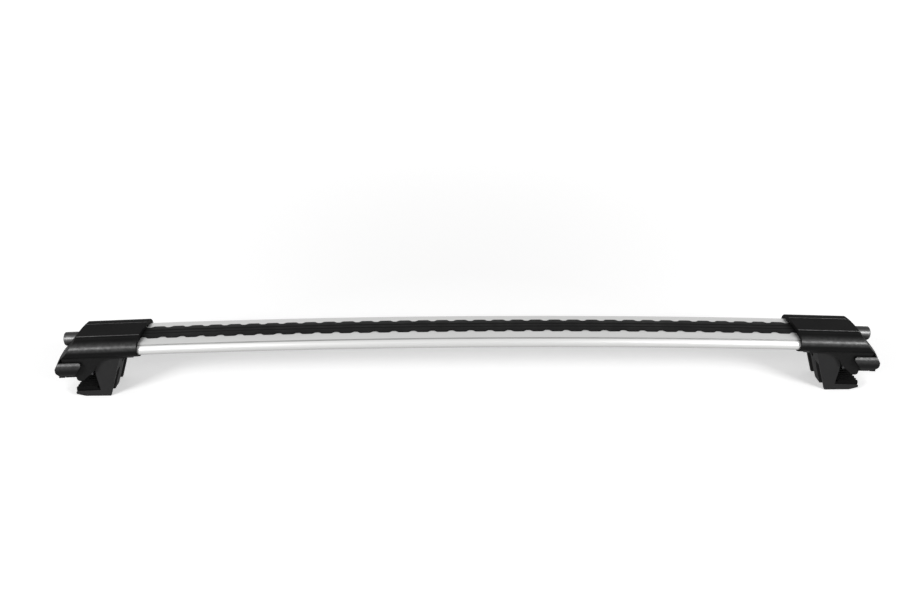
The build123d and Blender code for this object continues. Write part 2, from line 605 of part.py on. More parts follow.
# Ribbed rubber pad on the lip and up the throat
pad_floor = THROAT_Z + 2 * SEAT
pad_deck = THROAT_Z + RIB_BASE
rib_top = pad_deck + RIB_HEIGHT
pitch = 2 * PAD_HALF / RIB_COUNT
ribs = [(-PAD_HALF, pad_floor)]
for rib in range(RIB_COUNT):
    start = rib * pitch - PAD_HALF
    ribs.append((start, pad_deck))
    ribs.append((start + pitch * RIB_FLANK, rib_top))
    ribs.append((start + pitch * (1 - RIB_FLANK), rib_top))
ribs.append((PAD_HALF, pad_deck))
ribs.append((PAD_HALF, pad_floor))
rib_x = THROAT_X + RIB_BASE + RIB_HEIGHT
rib_face = make_face(Polyline([(rib_x, y, z) for y, z in ribs], close=True))
lip_pad = extrude(rib_face, amount=LIP_OUTER_X - LIP_PAD_BACK - rib_x, dir=(1, 0, 0))
throat_outline = [
    (THROAT_X + SEAT, pad_floor),
    (rib_x, pad_floor),
    (rib_x, pad_deck),
    (THROAT_X + RIB_BASE + SEAT, rib_top),
    (FACE_X + RIB_BASE + SEAT, SADDLE_Z),
    (FACE_X + SEAT, SADDLE_Z),
]
lip_pad += side(throat_outline, -PAD_HALF, PAD_HALF)

# Clamp drive: stud held in the leg, long sleeve nut turned from behind the door
clamp_stud = rod_x(STUD_RADIUS, stud_seat, STUD_END_X, DRIVE_Z)
clamp_stud += hex_x(STUD_HEAD_WIDTH, STUD_HEAD_X, stud_seat, DRIVE_Z)
flange_x = BLOCK_OUTER_X + WASHER_THICK + 2 * SEAT
sleeve_nut = rod_x(SLEEVE_RADIUS, SLEEVE_INNER_X, SLEEVE_OUTER_X, DRIVE_Z)
sleeve_nut += rod_x(SLEEVE_FLANGE_RADIUS, flange_x, flange_x + SLEEVE_FLANGE, DRIVE_Z)
sleeve_nut -= rod_x(STUD_RADIUS + RUNNING, SLEEVE_INNER_X, STUD_END_X + GAP, DRIVE_Z)
sleeve_nut -= hex_x(SLEEVE_SOCKET, SLEEVE_OUTER_X - SLEEVE_SOCKET_DEPTH, SLEEVE_OUTER_X, DRIVE_Z)
washer = rod_x(WASHER_RADIUS, BLOCK_OUTER_X + SEAT, BLOCK_OUTER_X + SEAT + WASHER_THICK, DRIVE_Z)
washer -= rod_x(SLEEVE_RADIUS + RUNNING, BLOCK_OUTER_X, flange_x, DRIVE_Z)

# Each foot follows the arch; the leg's sole is trimmed level with the floor
foot = {
    "foot_cover": cover,
    "saddle_bracket": bracket,
    "saddle_pad": saddle_pad,
    "slide_nuts": slide_nuts,
    "saddle_screws": saddle_screws,
    "clamp_leg": leg,
    "lip_pad": lip_pad,
    "clamp_stud": clamp_stud,
    "sleeve_nut": sleeve_nut,
    "nut_washer": washer,
    "end_door": door,
    "door_pins": door_pins,
    "lock_barrel": lock_barrel,
    "lock_plug": lock_plug,
    "lock_cam": lock_cam,
}
pieces = {"crossbar": crossbar, "rubber_strip": strip}
floor = block(0, 2 * BAR_END, -BAR_WIDTH, BAR_WIDTH, -BAR_HEIGHT, 0)
for name, solid in foot.items():
    placed = seated(solid)
    if name == "clamp_leg":
        placed -= floor
    pieces["right_" + name] = placed
    pieces["left_" + name] = mirror(placed, Plane.YZ)
pieces["right_bar_plug"] = bar_plug
pieces["left_bar_plug"] = mirror(bar_plug, Plane.YZ)
for name, solid in pieces.items():
    export_step(solid, f"parts/{name}.step")
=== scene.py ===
"""Roof rack crossbar: finishes and fine detail for one bar and its two clamp feet, over the packed solids."""

import bpy
import numpy as np
from bpy.props import FloatProperty, FloatVectorProperty, PointerProperty
from mathutils import Matrix


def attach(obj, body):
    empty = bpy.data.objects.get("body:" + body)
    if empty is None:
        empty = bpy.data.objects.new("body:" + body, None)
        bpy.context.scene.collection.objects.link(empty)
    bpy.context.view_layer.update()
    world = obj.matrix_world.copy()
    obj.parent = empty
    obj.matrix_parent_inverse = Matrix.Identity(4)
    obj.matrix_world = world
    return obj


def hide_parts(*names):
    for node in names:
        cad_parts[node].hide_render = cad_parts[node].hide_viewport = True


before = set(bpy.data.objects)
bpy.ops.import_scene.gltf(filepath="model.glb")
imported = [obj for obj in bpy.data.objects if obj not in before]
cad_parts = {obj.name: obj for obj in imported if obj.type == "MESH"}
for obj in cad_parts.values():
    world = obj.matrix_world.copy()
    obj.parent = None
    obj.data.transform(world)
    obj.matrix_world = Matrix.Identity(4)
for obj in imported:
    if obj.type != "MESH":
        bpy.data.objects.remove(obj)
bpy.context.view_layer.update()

bl_info = {
    "name": "Roof rack crossbar",
    "version": (1, 0, 0),
    "blender": (4, 5, 0),
    "location": "View3D > Sidebar > Crossbar",
    "description": "Dresses a roof rack crossbar with rubber, plastic and metal finishes",
    "category": "Object",
}

SIDES = (("left", -1.0), ("right", 1.0))

# The arch that the bar follows, and the tilt of the feet that sit on it
ARCH_RADIUS = 14.2
FOOT_X = 0.520
BAR_Z = 0.0772
FOOT_TILT = np.arcsin(FOOT_X / ARCH_RADIUS)
ARCH_CENTRE_Z = BAR_Z - np.sqrt(ARCH_RADIUS**2 - FOOT_X**2)

# The grooves along the bar, from the middle of its section, and the reach of the painted shade in them
GROOVE_Y = 0.0350
GROOVE_Z = 0.0075
GROOVE_SHADE_FULL = 0.0008
GROOVE_SHADE_CLEAR = 0.0013

# How finely the strip is drawn: rows to a scallop, columns to a flat and a ridge, and columns of its flank
SCALLOP_ROWS = 20
FLAT_COLUMNS = 4
RIDGE_COLUMNS = 13
FLANK_SHARES = (0.3, 0.6, 0.82, 0.93, 0.98, 1.0)

# How finely the turned pieces are drawn
STUD_RING = 48
THREAD_ROWS = 8
BARREL_RING = 72
EDGE_ROWS = 9

# Angles past which an edge of a new piece is sharp
CREASE = 0.6
THREAD_CREASE = 0.9

# Depth of the relief in the finishes
GRAIN_DEPTH = 0.0001
CAST_DEPTH = 0.0002
LINE_DEPTH = 0.00005

# How much rougher a scuff leaves a finish
PLASTIC_SCUFF = 0.25
METAL_SCUFF = 0.12

# Roughness of every noise, and samples for the rounded normal at an edge
NOISE_ROUGH = 0.55
EDGE_SAMPLES = 6

# What lies on a finish or shows through it
PLASTIC_DUST = (0.16, 0.155, 0.15)
RUBBER_DUST = (0.14, 0.137, 0.13)
BARE_CASTING = (0.32, 0.32, 0.33)

# The burnished skin on moulded shoulders: its gloss, and its roughness as a share of the plastic's
BURNISH_IOR = 1.8
BURNISH_ROUGH = 0.75

# The floor's roughness, and the nearest distance that the camera shows
FLOOR_ROUGH = 0.8
CLIP_START = 0.01

# What properties of one kind share
LENGTH = {"unit": "LENGTH", "subtype": "DISTANCE"}
PLACE = {"size": 3, "unit": "LENGTH", "subtype": "TRANSLATION"}
COLOUR = {"size": 3, "min": 0.0, "max": 1.0, "subtype": "COLOR"}
SHARE = {"min": 0.0, "max": 1.0, "subtype": "FACTOR"}


# Settings
class StripSettings(bpy.types.PropertyGroup):
    """Rubber strip in the upper slot"""

    half_length: FloatProperty(
        name="Half length",
        description="From the middle of the bar to the strip's end",
        default=0.540,
        **LENGTH,
    )
    half_width: FloatProperty(
        name="Half width",
        description="From the valley to the outer edge between two scallops",
        default=0.0185,
        **LENGTH,
    )
    deck: FloatProperty(
        name="Deck height",
        description="Underside of the strip above the bar's centre line",
        default=0.00955,
        **LENGTH,
    )
    edge: FloatProperty(
        name="Edge height",
        description="Outer edge of the strip above the bar's centre line",
        default=0.0099,
        **LENGTH,
    )
    crown: FloatProperty(
        name="Crown",
        description="How far the strip's middle stands above its outer edge",
        default=0.0010,
        **LENGTH,
    )
    shoulder: FloatProperty(
        name="Shoulder",
        description="From the middle to where the top begins to fall to the edge",
        default=0.0095,
        **LENGTH,
    )
    ridge: FloatProperty(
        name="Ridge offset",
        description="From the middle to the crest of a ridge",
        default=0.0045,
        **LENGTH,
    )
    ridge_half: FloatProperty(
        name="Ridge half width",
        description="From a ridge's crest to its foot",
        default=0.0016,
        **LENGTH,
    )
    proud: FloatProperty(
        name="Ridge height",
        description="How far the two ridges stand above the crown",
        default=0.0008,
        **LENGTH,
    )
    rim_start: FloatProperty(
        name="Rim start",
        description="Where the rim begins to round over, as a share of the way from shoulder to edge",
        default=0.8,
        **SHARE,
    )
    rim_drop: FloatProperty(
        name="Rim drop",
        description="How far the rim has rounded over at the edge",
        default=0.00025,
        **LENGTH,
    )
    pitch: FloatProperty(
        name="Scallop pitch",
        description="Distance from one scallop to the next",
        default=0.0276,
        **LENGTH,
    )
    scallop: FloatProperty(
        name="Scallop depth",
        description="How far a scallop is cut into the strip's edge",
        default=0.0044,
        **LENGTH,
    )
    notch_floor: FloatProperty(
        name="Scallop floor",
        description="From a scallop's middle to the end of its floor",
        default=0.0018,
        **LENGTH,
    )
    notch_mouth: FloatProperty(
        name="Scallop mouth",
        description="From a scallop's middle to where it meets the strip's edge",
        default=0.0074,
        **LENGTH,
    )
    neck: FloatProperty(
        name="Neck half width",
        description="Half width of the strip where it passes the slot's lips",
        default=0.00545,
        **LENGTH,
    )
    neck_depth: FloatProperty(
        name="Neck depth",
        description="From the strip's underside to the top of its head in the slot",
        default=0.0025,
        **LENGTH,
    )
    head: FloatProperty(
        name="Head half width",
        description="Half width of the strip's head under the slot's lips",
        default=0.0080,
        **LENGTH,
    )
    head_depth: FloatProperty(
        name="Head depth",
        description="From the strip's underside to the bottom of its head",
        default=0.0065,
        **LENGTH,
    )


class DriveSettings(bpy.types.PropertyGroup):
    """Threaded stud of the clamp"""

    axis_z: FloatProperty(
        name="Drive height",
        description="Height of the stud before the foot is tilted to the arch",
        default=0.0465,
        **LENGTH,
    )
    head_start: FloatProperty(
        name="Head start",
        description="Inner face of the stud's head along the bar",
        default=0.5210,
        **LENGTH,
    )
    head_end: FloatProperty(
        name="Head end",
        description="Outer face of the stud's head along the bar",
        default=0.5250,
        **LENGTH,
    )
    stud_end: FloatProperty(
        name="Stud end",
        description="Outer end of the stud along the bar",
        default=0.5790,
        **LENGTH,
    )
    head_flats: FloatProperty(
        name="Head across flats",
        description="Width of the stud's head between two flats",
        default=0.0100,
        **LENGTH,
    )
    inner_bevel: FloatProperty(
        name="Inner bevel",
        description="Length of the bevel at the head's inner face",
        default=0.0004,
        **LENGTH,
    )
    outer_bevel: FloatProperty(
        name="Outer bevel",
        description="Length of the bevel at the head's outer face",
        default=0.0002,
        **LENGTH,
    )
    bevel_reach: FloatProperty(
        name="Bevel reach",
        description="Radius of the bevelled faces, as a multiple of half the flats",
        default=1.04,
        min=1.0,
        max=1.15,
        subtype="FACTOR",
    )
    radius: FloatProperty(
        name="Thread radius",
        description="Radius over the crests of the thread",
        default=0.0030,
        **LENGTH,
    )
    depth: FloatProperty(
        name="Thread depth",
        description="Depth of the thread below its crests",
        default=0.00055,
        **LENGTH,
    )
    pitch: FloatProperty(
        name="Thread pitch",
        description="Distance from one crest of the thread to the next",
        default=0.0010,
        **LENGTH,
    )
    run_in: FloatProperty(
        name="Thread run-in",
        description="Turns from the head until the thread has its full depth",
        default=3.0,
        min=0.5,
        max=10.0,
    )
    run_out: FloatProperty(
        name="Thread run-out",
        description="Share of its radius that the stud loses over its last turn",
        default=0.25,
        **SHARE,
    )


class LockSettings(bpy.types.PropertyGroup):
    """Turned barrel of the lock"""

    axis_z: FloatProperty(
        name="Lock height",
        description="Height of the barrel before the foot is tilted to the arch",
        default=0.0816,
        **LENGTH,
    )
    inner: FloatProperty(
        name="Inner end",
        description="Inner end of the barrel along the bar",
        default=0.5655,
        **LENGTH,
    )
    outer: FloatProperty(
        name="Outer end",
        description="Outer end of the barrel along the bar",
        default=0.5870,
        **LENGTH,
    )
    radius: FloatProperty(
        name="Radius",
        description="Radius of the barrel",
        default=0.0100,
        **LENGTH,
    )
    round_edge: FloatProperty(
        name="Edge rounding",
        description="Radius of the rounded outer edge",
        default=0.0016,
        **LENGTH,
    )
    rim: FloatProperty(
        name="Rim width",
        description="Width of the rim around the sunk end face",
        default=0.0014,
        **LENGTH,
    )
    sink: FloatProperty(
        name="Sunk face",
        description="How far the end face is sunk within the rim",
        default=0.0004,
        **LENGTH,
    )
    bore: FloatProperty(
        name="Bore radius",
        description="Radius of the bore that the plug turns in",
        default=0.00565,
        **LENGTH,
    )


class FinishSettings(bpy.types.PropertyGroup):
    """Colours of the bar and the feet"""

    aluminium: FloatVectorProperty(
        name="Aluminium",
        description="Anodised aluminium of the bar",
        default=(0.60, 0.60, 0.595),
        **COLOUR,
    )
    cover: FloatVectorProperty(
        name="Cover plastic",
        description="Satin black plastic of the covers and end doors",
        default=(0.0085, 0.0085, 0.0086),
        **COLOUR,
    )
    leg: FloatVectorProperty(
        name="Leg plastic",
        description="Matt black plastic of the clamp legs",
        default=(0.021, 0.021, 0.0213),
        **COLOUR,
    )
    rubber: FloatVectorProperty(
        name="Rubber",
        description="Black rubber of the strip and the pads",
        default=(0.003, 0.003, 0.0031),
        **COLOUR,
    )
    zinc: FloatVectorProperty(
        name="Zinc plating",
        description="Bright zinc of the drive parts",
        default=(0.62, 0.63, 0.64),
        **COLOUR,
    )
    casting: FloatVectorProperty(
        name="Casting",
        description="Dark coated casting of the saddle brackets",
        default=(0.035, 0.035, 0.037),
        **COLOUR,
    )


class StageSettings(bpy.types.PropertyGroup):
    """Floor, lights and camera"""

    camera_place: FloatVectorProperty(
        name="Camera place",
        description="Where the camera stands",
        default=(-0.041, -1.162, 0.701),
        **PLACE,
    )
    camera_turn: FloatVectorProperty(
        name="Camera turn",
        description="Yaw, pitch and roll of the camera from level along the depth of the bar",
        default=(-0.02206, -0.45850, -0.00309),
        size=3,
        unit="ROTATION",
        subtype="EULER",
    )
    lens: FloatProperty(
        name="Lens",
        description="Focal length, for the sensor's width",
        default=35.22,
        unit="CAMERA",
        min=10.0,
        max=200.0,
    )
    sensor: FloatProperty(
        name="Sensor",
        description="Width of the camera's sensor",
        default=36.0,
        unit="CAMERA",
        min=10.0,
        max=100.0,
    )
    floor: FloatVectorProperty(
        name="Floor",
        description="Colour of the floor",
        default=(0.93, 0.93, 0.93),
        **COLOUR,
    )
    floor_reach: FloatProperty(
        name="Floor reach",
        description="From the middle of the floor to its edges",
        default=9.0,
        **LENGTH,
    )
    glow_near: FloatProperty(
        name="Glow near",
        description="Share of white that the camera sees added to the floor around the bar",
        default=0.35,
        **SHARE,
    )
    glow_far: FloatProperty(
        name="Glow far",
        description="Share of white that the camera sees added to the floor further out",
        default=0.98,
        **SHARE,
    )
    glow_start: FloatProperty(
        name="Glow start",
        description="From the middle of the floor to where its glow begins to rise",
        default=0.4,
        **LENGTH,
    )
    glow_end: FloatProperty(
        name="Glow end",
        description="From the middle of the floor to where its glow is full",
        default=3.0,
        **LENGTH,
    )
    sky: FloatProperty(
        name="Sky light",
        description="Level of the even light from all around",
        default=0.28,
        min=0.0,
        max=2.0,
    )
    front: FloatProperty(
        name="Front lamps",
        description="Power of each of the two soft lamps in front of the feet",
        default=41.0,
        unit="POWER",
        min=0.0,
        max=500.0,
    )
    lamp_place: FloatVectorProperty(
        name="Lamp place",
        description="Where the right front lamp stands; the left one mirrors it",
        default=(1.9, -1.6, 1.2),
        **PLACE,
    )
    lamp_size: FloatVectorProperty(
        name="Lamp size",
        description="Width and height of a front lamp",
        default=(0.9, 0.6),
        size=2,
        unit="LENGTH",
    )
    lamp_aim: FloatProperty(
        name="Lamp aim",
        description="Where a front lamp looks, as a share of the way from the bar's middle to its foot",
        default=0.5,
        **SHARE,
    )


# Meshes
def add_piece(name, points, faces, material, body, crease=CREASE):
    """A mesh object from points and faces, smooth up to a crease angle, riding on a body of the frame."""
    mesh = bpy.data.meshes.new(name)
    mesh.from_pydata(points.reshape(-1, 3), [], faces)
    mesh.shade_smooth()
    mesh.set_sharp_from_angle(angle=crease)
    piece = bpy.data.objects.new(name, mesh)
    bpy.context.scene.collection.objects.link(piece)
    mesh.materials.append(material)
    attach(piece, body)
    return piece


def tube_faces(rows, ring, capped):
    """Quads of a grid of closed rings; the ends are capped, or else the last ring joins the first."""
    row = np.arange(rows - 1 if capped else rows)[:, None]
    col = np.arange(ring)[None, :]
    after_row = (row + 1) % rows
    after_col = (col + 1) % ring
    quads = np.stack(
        [
            row * ring + col,
            row * ring + after_col,
            after_row * ring + after_col,
            after_row * ring + col,
        ],
        axis=-1,
    ).reshape(-1, 4)
    faces = quads.tolist()
    if capped:
        faces.append(list(range(ring))[::-1])
        faces.append(list(range((rows - 1) * ring, rows * ring)))
    return faces


def foot_faces(surface, hand, capped):
    """Faces of a foot's grid of rings, turned over on the mirrored left foot so that they point outwards."""
    faces = tube_faces(*surface.shape[:2], capped=capped)
    return faces if hand > 0.0 else [face[::-1] for face in faces]


def on_foot(points, hand):
    """Points of a level foot, tilted about the bar at the foot's middle and mirrored for the left foot.

    X' = foot + dx cos t + dz sin t and Z' = bar - dx sin t + dz cos t, with dx and dz from that middle.
    """
    dx = points[..., 0] - FOOT_X
    dz = points[..., 2] - BAR_Z
    x = FOOT_X + dx * np.cos(FOOT_TILT) + dz * np.sin(FOOT_TILT)
    z = BAR_Z - dx * np.sin(FOOT_TILT) + dz * np.cos(FOOT_TILT)
    return np.stack([hand * x, points[..., 1], z], axis=-1)


def on_arch(along, across, height):
    """Points at a place along the bar, across it and above its centre line.

    The place along turns by arcsin(along / R) about the far centre, at radius R plus the height.
    """
    turn = np.arcsin(along / ARCH_RADIUS)
    reach = ARCH_RADIUS + height
    return np.stack([reach * np.sin(turn), across, ARCH_CENTRE_Z + reach * np.cos(turn)], axis=-1)


def smooth_step(low, high, value):
    """Nought below low, one above high and a smooth S between them."""
    share = np.clip((value - low) / (high - low), 0.0, 1.0)
    return share * share * (3.0 - 2.0 * share)


def strip_surface(s):
    """Section of the strip carried along the arch.

    Columns within the shoulder keep their place across. Those beyond it reach to the half width, which loses
    the scallop depth near each multiple of the pitch, by a smooth step on both sides. The top falls straight
    from the shoulder to the edge, and the two ridges stand on it as raised cosines.
    """
    rows = int(round(2.0 * s.half_length / (s.pitch / SCALLOP_ROWS)))
    along = np.linspace(-s.half_length, s.half_length, rows + 1)[:, None]
    from_notch = np.abs((along / s.pitch + 0.5) % 1.0 - 0.5) * s.pitch
    last = s.pitch * np.floor((s.half_length - s.pitch) / s.pitch)
    inside = np.abs(along) < last + s.pitch / 2.0
    notch = inside * (1.0 - smooth_step(s.notch_floor, s.notch_mouth, from_notch))
    half = s.half_width - s.scallop * notch
    foot_in = s.ridge - s.ridge_half
    foot_out = s.ridge + s.ridge_half
    middle = np.linspace(0.0, foot_in, FLAT_COLUMNS)[:-1]
    ribbed = np.linspace(foot_in, foot_out, RIDGE_COLUMNS)
    flat = np.linspace(foot_out, s.shoulder, FLAT_COLUMNS)[1:]
    fixed = np.concatenate([middle, ribbed, flat])[None, :]
    flank = s.shoulder + (half - s.shoulder) * np.array(FLANK_SHARES)[None, :]
    reach = np.concatenate([np.broadcast_to(fixed, (rows + 1, fixed.size)), flank], axis=1)
    across = np.concatenate([reach[:, ::-1], -reach[:, 1:]], axis=1)
    away = np.abs(across)
    fall = np.clip((away - s.shoulder) / (s.half_width - s.shoulder), 0.0, 1.0)
    ridge = 0.5 + 0.5 * np.cos(np.pi * np.clip((away - s.ridge) / s.ridge_half, -1.0, 1.0))
    rim = smooth_step(s.rim_start, 1.0, (away - s.shoulder) / (half - s.shoulder)) * s.rim_drop
    top = s.edge + s.crown * (1.0 - fall) + s.proud * ridge - rim
    flange = np.array([-1.0, 0.0, 0.0, 0.0, 0.0, 0.0, 0.0, 0.0, 0.0, 1.0])
    stem = np.array([0.0, -s.neck, -s.neck, -s.head, -s.head, s.head, s.head, s.neck, s.neck, 0.0])
    drop = np.array([0.0, 0.0, *[s.neck_depth] * 2, *[s.head_depth] * 2, *[s.neck_depth] * 2, 0.0, 0.0])
    under = half * flange[None, :] + stem[None, :]
    ring_y = np.concatenate([across, under], axis=1)
    ring_z = np.concatenate([top, np.broadcast_to(s.deck - drop, under.shape)], axis=1)
    return on_arch(np.broadcast_to(along, ring_y.shape), ring_y, ring_z)


def stud_surface(d, hand):
    """Radius around the drive axis as a function of the place along it and the angle about it.

    Over the head it is the hexagon's: half the flats over the cosine of the angle from the nearest flat.
    Over the shank it is the crest radius less a triangle wave of (place / pitch - angle / one turn).
    """
    angle = np.linspace(0.0, 2.0 * np.pi, STUD_RING, endpoint=False)[None, :]
    flat = (angle + np.pi / 6.0) % (np.pi / 3.0) - np.pi / 6.0
    hexagon = d.head_flats / 2.0 / np.cos(flat)
    bevel = np.minimum(hexagon, d.head_flats / 2.0 * d.bevel_reach)
    shank = np.arange(d.head_end, d.stud_end, d.pitch / THREAD_ROWS)[:, None]
    wave = np.abs(((shank - d.head_end) / d.pitch - angle / (2.0 * np.pi)) % 1.0 - 0.5) * 2.0
    run_in = smooth_step(0.0, d.run_in * d.pitch, shank - d.head_end)
    run_out = 1.0 - d.run_out * smooth_step(d.stud_end - d.pitch, d.stud_end, shank)
    thread = (d.radius - d.depth * wave * run_in) * run_out
    radius = np.concatenate([bevel, hexagon, hexagon, bevel, thread])
    head = [d.head_start, d.head_start + d.inner_bevel, d.head_end - d.outer_bevel, d.head_end]
    along = np.concatenate([np.array(head)[:, None], shank])
    along = np.broadcast_to(along, radius.shape)
    points = np.stack([along, radius * np.cos(angle), d.axis_z + radius * np.sin(angle)], axis=-1)
    return on_foot(points, hand)


def barrel_surface(k, hand):
    """Closed profile of place and radius, turned about the lock's axis.

    It runs out along the barrel, round the outer edge by a quarter circle, over the rim, down its bevel to
    the sunk face and back along the bore.
    """
    turn = np.linspace(0.0, np.pi / 2.0, EDGE_ROWS)
    edge_x = k.outer - k.round_edge * (1.0 - np.sin(turn))
    edge_r = k.radius - k.round_edge * (1.0 - np.cos(turn))
    lip = k.radius - k.round_edge - k.rim
    face = k.outer - k.sink
    place = np.concatenate([[k.inner, k.inner], edge_x, [k.outer, face, face]])
    radius = np.concatenate([[k.bore, k.radius], edge_r, [lip, lip - k.sink, k.bore]])
    angle = np.linspace(0.0, 2.0 * np.pi, BARREL_RING, endpoint=False)[None, :]
    along = np.broadcast_to(place[:, None], (place.size, angle.size))
    out = radius[:, None]
    points = np.stack([along, out * np.cos(angle), k.axis_z + out * np.sin(angle)], axis=-1)
    return on_foot(points, hand)


# Nodes
def object_place(tree):
    """Object coordinates of a point on the surface."""
    return tree.nodes.new("ShaderNodeTexCoord").outputs["Object"]


def surface_normal(tree):
    """The surface's own normal."""
    return tree.nodes.new("ShaderNodeNewGeometry").outputs["Normal"]


def split_axes(tree, vector):
    """The X, Y and Z of a vector."""
    node = tree.nodes.new("ShaderNodeSeparateXYZ")
    tree.links.new(vector, node.inputs["Vector"])
    return [node.outputs[axis] for axis in "XYZ"]


def stretched_noise(tree, scale=1.0, stretch=(1.0, 1.0, 1.0), detail=3.0):
    """Noise on Object coordinates, stretched by a Mapping node."""
    mapping = tree.nodes.new("ShaderNodeMapping")
    mapping.inputs["Scale"].default_value = stretch
    noise = tree.nodes.new("ShaderNodeTexNoise")
    noise.inputs["Scale"].default_value = scale
    noise.inputs["Detail"].default_value = detail
    noise.inputs["Roughness"].default_value = NOISE_ROUGH
    tree.links.new(object_place(tree), mapping.inputs["Vector"])
    tree.links.new(mapping.outputs["Vector"], noise.inputs["Vector"])
    return noise.outputs["Fac"]


def arithmetic(tree, operation, first, second=0.0, clamp=False):
    """A Math node; each operand is a socket or a number."""
    node = tree.nodes.new("ShaderNodeMath")
    node.operation = operation
    node.use_clamp = clamp
    for spot, value in enumerate((first, second)):
        if isinstance(value, (int, float)):
            node.inputs[spot].default_value = value
        else:
            tree.links.new(value, node.inputs[spot])
    return node.outputs[0]


def product(tree, first, *others):
    """The product of sockets and numbers."""
    for other in others:
        first = arithmetic(tree, "MULTIPLY", first, other)
    return first


def hypotenuse(tree, first, second):
    """Square root of the sum of two squares."""
    squares = [product(tree, side, side) for side in (first, second)]
    return arithmetic(tree, "SQRT", arithmetic(tree, "ADD", *squares))


def remap(tree, value, low, high, out_low=0.0, out_high=1.0, smooth=False):
    """A clamped Map Range node, straight or by a smooth step."""
    node = tree.nodes.new("ShaderNodeMapRange")
    node.interpolation_type = "SMOOTHSTEP" if smooth else "LINEAR"
    node.inputs["From Min"].default_value = low
    node.inputs["From Max"].default_value = high
    node.inputs["To Min"].default_value = out_low
    node.inputs["To Max"].default_value = out_high
    tree.links.new(value, node.inputs["Value"])
    return node.outputs["Result"]


def tint(tree, mask, first, second):
    """A colour that goes from the first to the second with a mask; the first may be a socket."""
    mix = tree.nodes.new("ShaderNodeMix")
    mix.data_type = "RGBA"
    tree.links.new(mask, mix.inputs["Factor"])
    for label, value in (("A", first), ("B", second)):
        socket = [s for s in mix.inputs if s.name == label and s.type == "RGBA"][0]
        if isinstance(value, bpy.types.NodeSocket):
            tree.links.new(value, socket)
        else:
            socket.default_value = (*value, 1.0)
    return [s for s in mix.outputs if s.type == "RGBA"][0]


def bump(tree, height, strength, distance, normal=None):
    """A Bump node over an optional normal."""
    node = tree.nodes.new("ShaderNodeBump")
    node.inputs["Strength"].default_value = strength
    node.inputs["Distance"].default_value = distance
    tree.links.new(height, node.inputs["Height"])
    if normal is not None:
        tree.links.new(normal, node.inputs["Normal"])
    return node.outputs["Normal"]


def seen_rays(tree):
    """One for rays that the camera sees, straight, by a reflection or through a clear body; else nought."""
    path = tree.nodes.new("ShaderNodeLightPath")
    seen = arithmetic(tree, "MAXIMUM", path.outputs["Is Camera Ray"], path.outputs["Is Glossy Ray"])
    return arithmetic(tree, "MAXIMUM", seen, path.outputs["Is Transmission Ray"])


# Node groups
def new_group(name, inputs, outputs):
    """An empty shader node group with named float inputs and float or vector outputs."""
    tree = bpy.data.node_groups.new(name, "ShaderNodeTree")
    for label, default in inputs:
        socket = tree.interface.new_socket(label, in_out="INPUT", socket_type="NodeSocketFloat")
        socket.default_value = default
    for label, kind in outputs:
        tree.interface.new_socket(label, in_out="OUTPUT", socket_type=kind)
    return tree, tree.nodes.new("NodeGroupInput"), tree.nodes.new("NodeGroupOutput")


def grain_group():
    """Moulded grain: a fine pebble height and a broad, faint change of sheen."""
    tree, given, out = new_group(
        "moulded_grain",
        [("Scale", 1500.0)],
        [("Height", "NodeSocketFloat"), ("Sheen", "NodeSocketFloat")],
    )
    pebble = tree.nodes.new("ShaderNodeTexVoronoi")
    pebble.feature = "SMOOTH_F1"
    tree.links.new(object_place(tree), pebble.inputs["Vector"])
    tree.links.new(given.outputs["Scale"], pebble.inputs["Scale"])
    tree.links.new(pebble.outputs["Distance"], out.inputs["Height"])
    tree.links.new(stretched_noise(tree, scale=38.0), out.inputs["Sheen"])
    return tree


def edge_group():
    """Rubbed edges: where a rounded normal leaves the true one, broken by noise, and the rounded normal."""
    tree, given, out = new_group(
        "rubbed_edges",
        [("Radius", 0.0008)],
        [("Mask", "NodeSocketFloat"), ("Normal", "NodeSocketVector")],
    )
    bevel = tree.nodes.new("ShaderNodeBevel")
    bevel.samples = EDGE_SAMPLES
    tree.links.new(given.outputs["Radius"], bevel.inputs["Radius"])
    alike = tree.nodes.new("ShaderNodeVectorMath")
    alike.operation = "DOT_PRODUCT"
    tree.links.new(bevel.outputs["Normal"], alike.inputs[0])
    tree.links.new(surface_normal(tree), alike.inputs[1])
    edge = remap(tree, alike.outputs["Value"], low=0.995, high=0.80)
    broken = remap(tree, stretched_noise(tree, scale=240.0, detail=4.0), low=0.42, high=0.66)
    tree.links.new(product(tree, edge, broken), out.inputs["Mask"])
    tree.links.new(bevel.outputs["Normal"], out.inputs["Normal"])
    return tree


def dust_group():
    """Settled dust: faces that look up, in soft patches with fine specks."""
    tree, given, out = new_group("settled_dust", [("Amount", 0.3)], [("Mask", "NodeSocketFloat")])
    _, _, up = split_axes(tree, surface_normal(tree))
    upward = remap(tree, up, low=0.25, high=0.95)
    patch = remap(tree, stretched_noise(tree, scale=26.0), low=0.38, high=0.72)
    speck = remap(tree, stretched_noise(tree, scale=900.0, detail=2.0), low=0.60, high=0.72)
    speckled = arithmetic(tree, "MAXIMUM", product(tree, patch, 0.5), speck)
    tree.links.new(product(tree, upward, speckled, given.outputs["Amount"]), out.inputs["Mask"])
    return tree


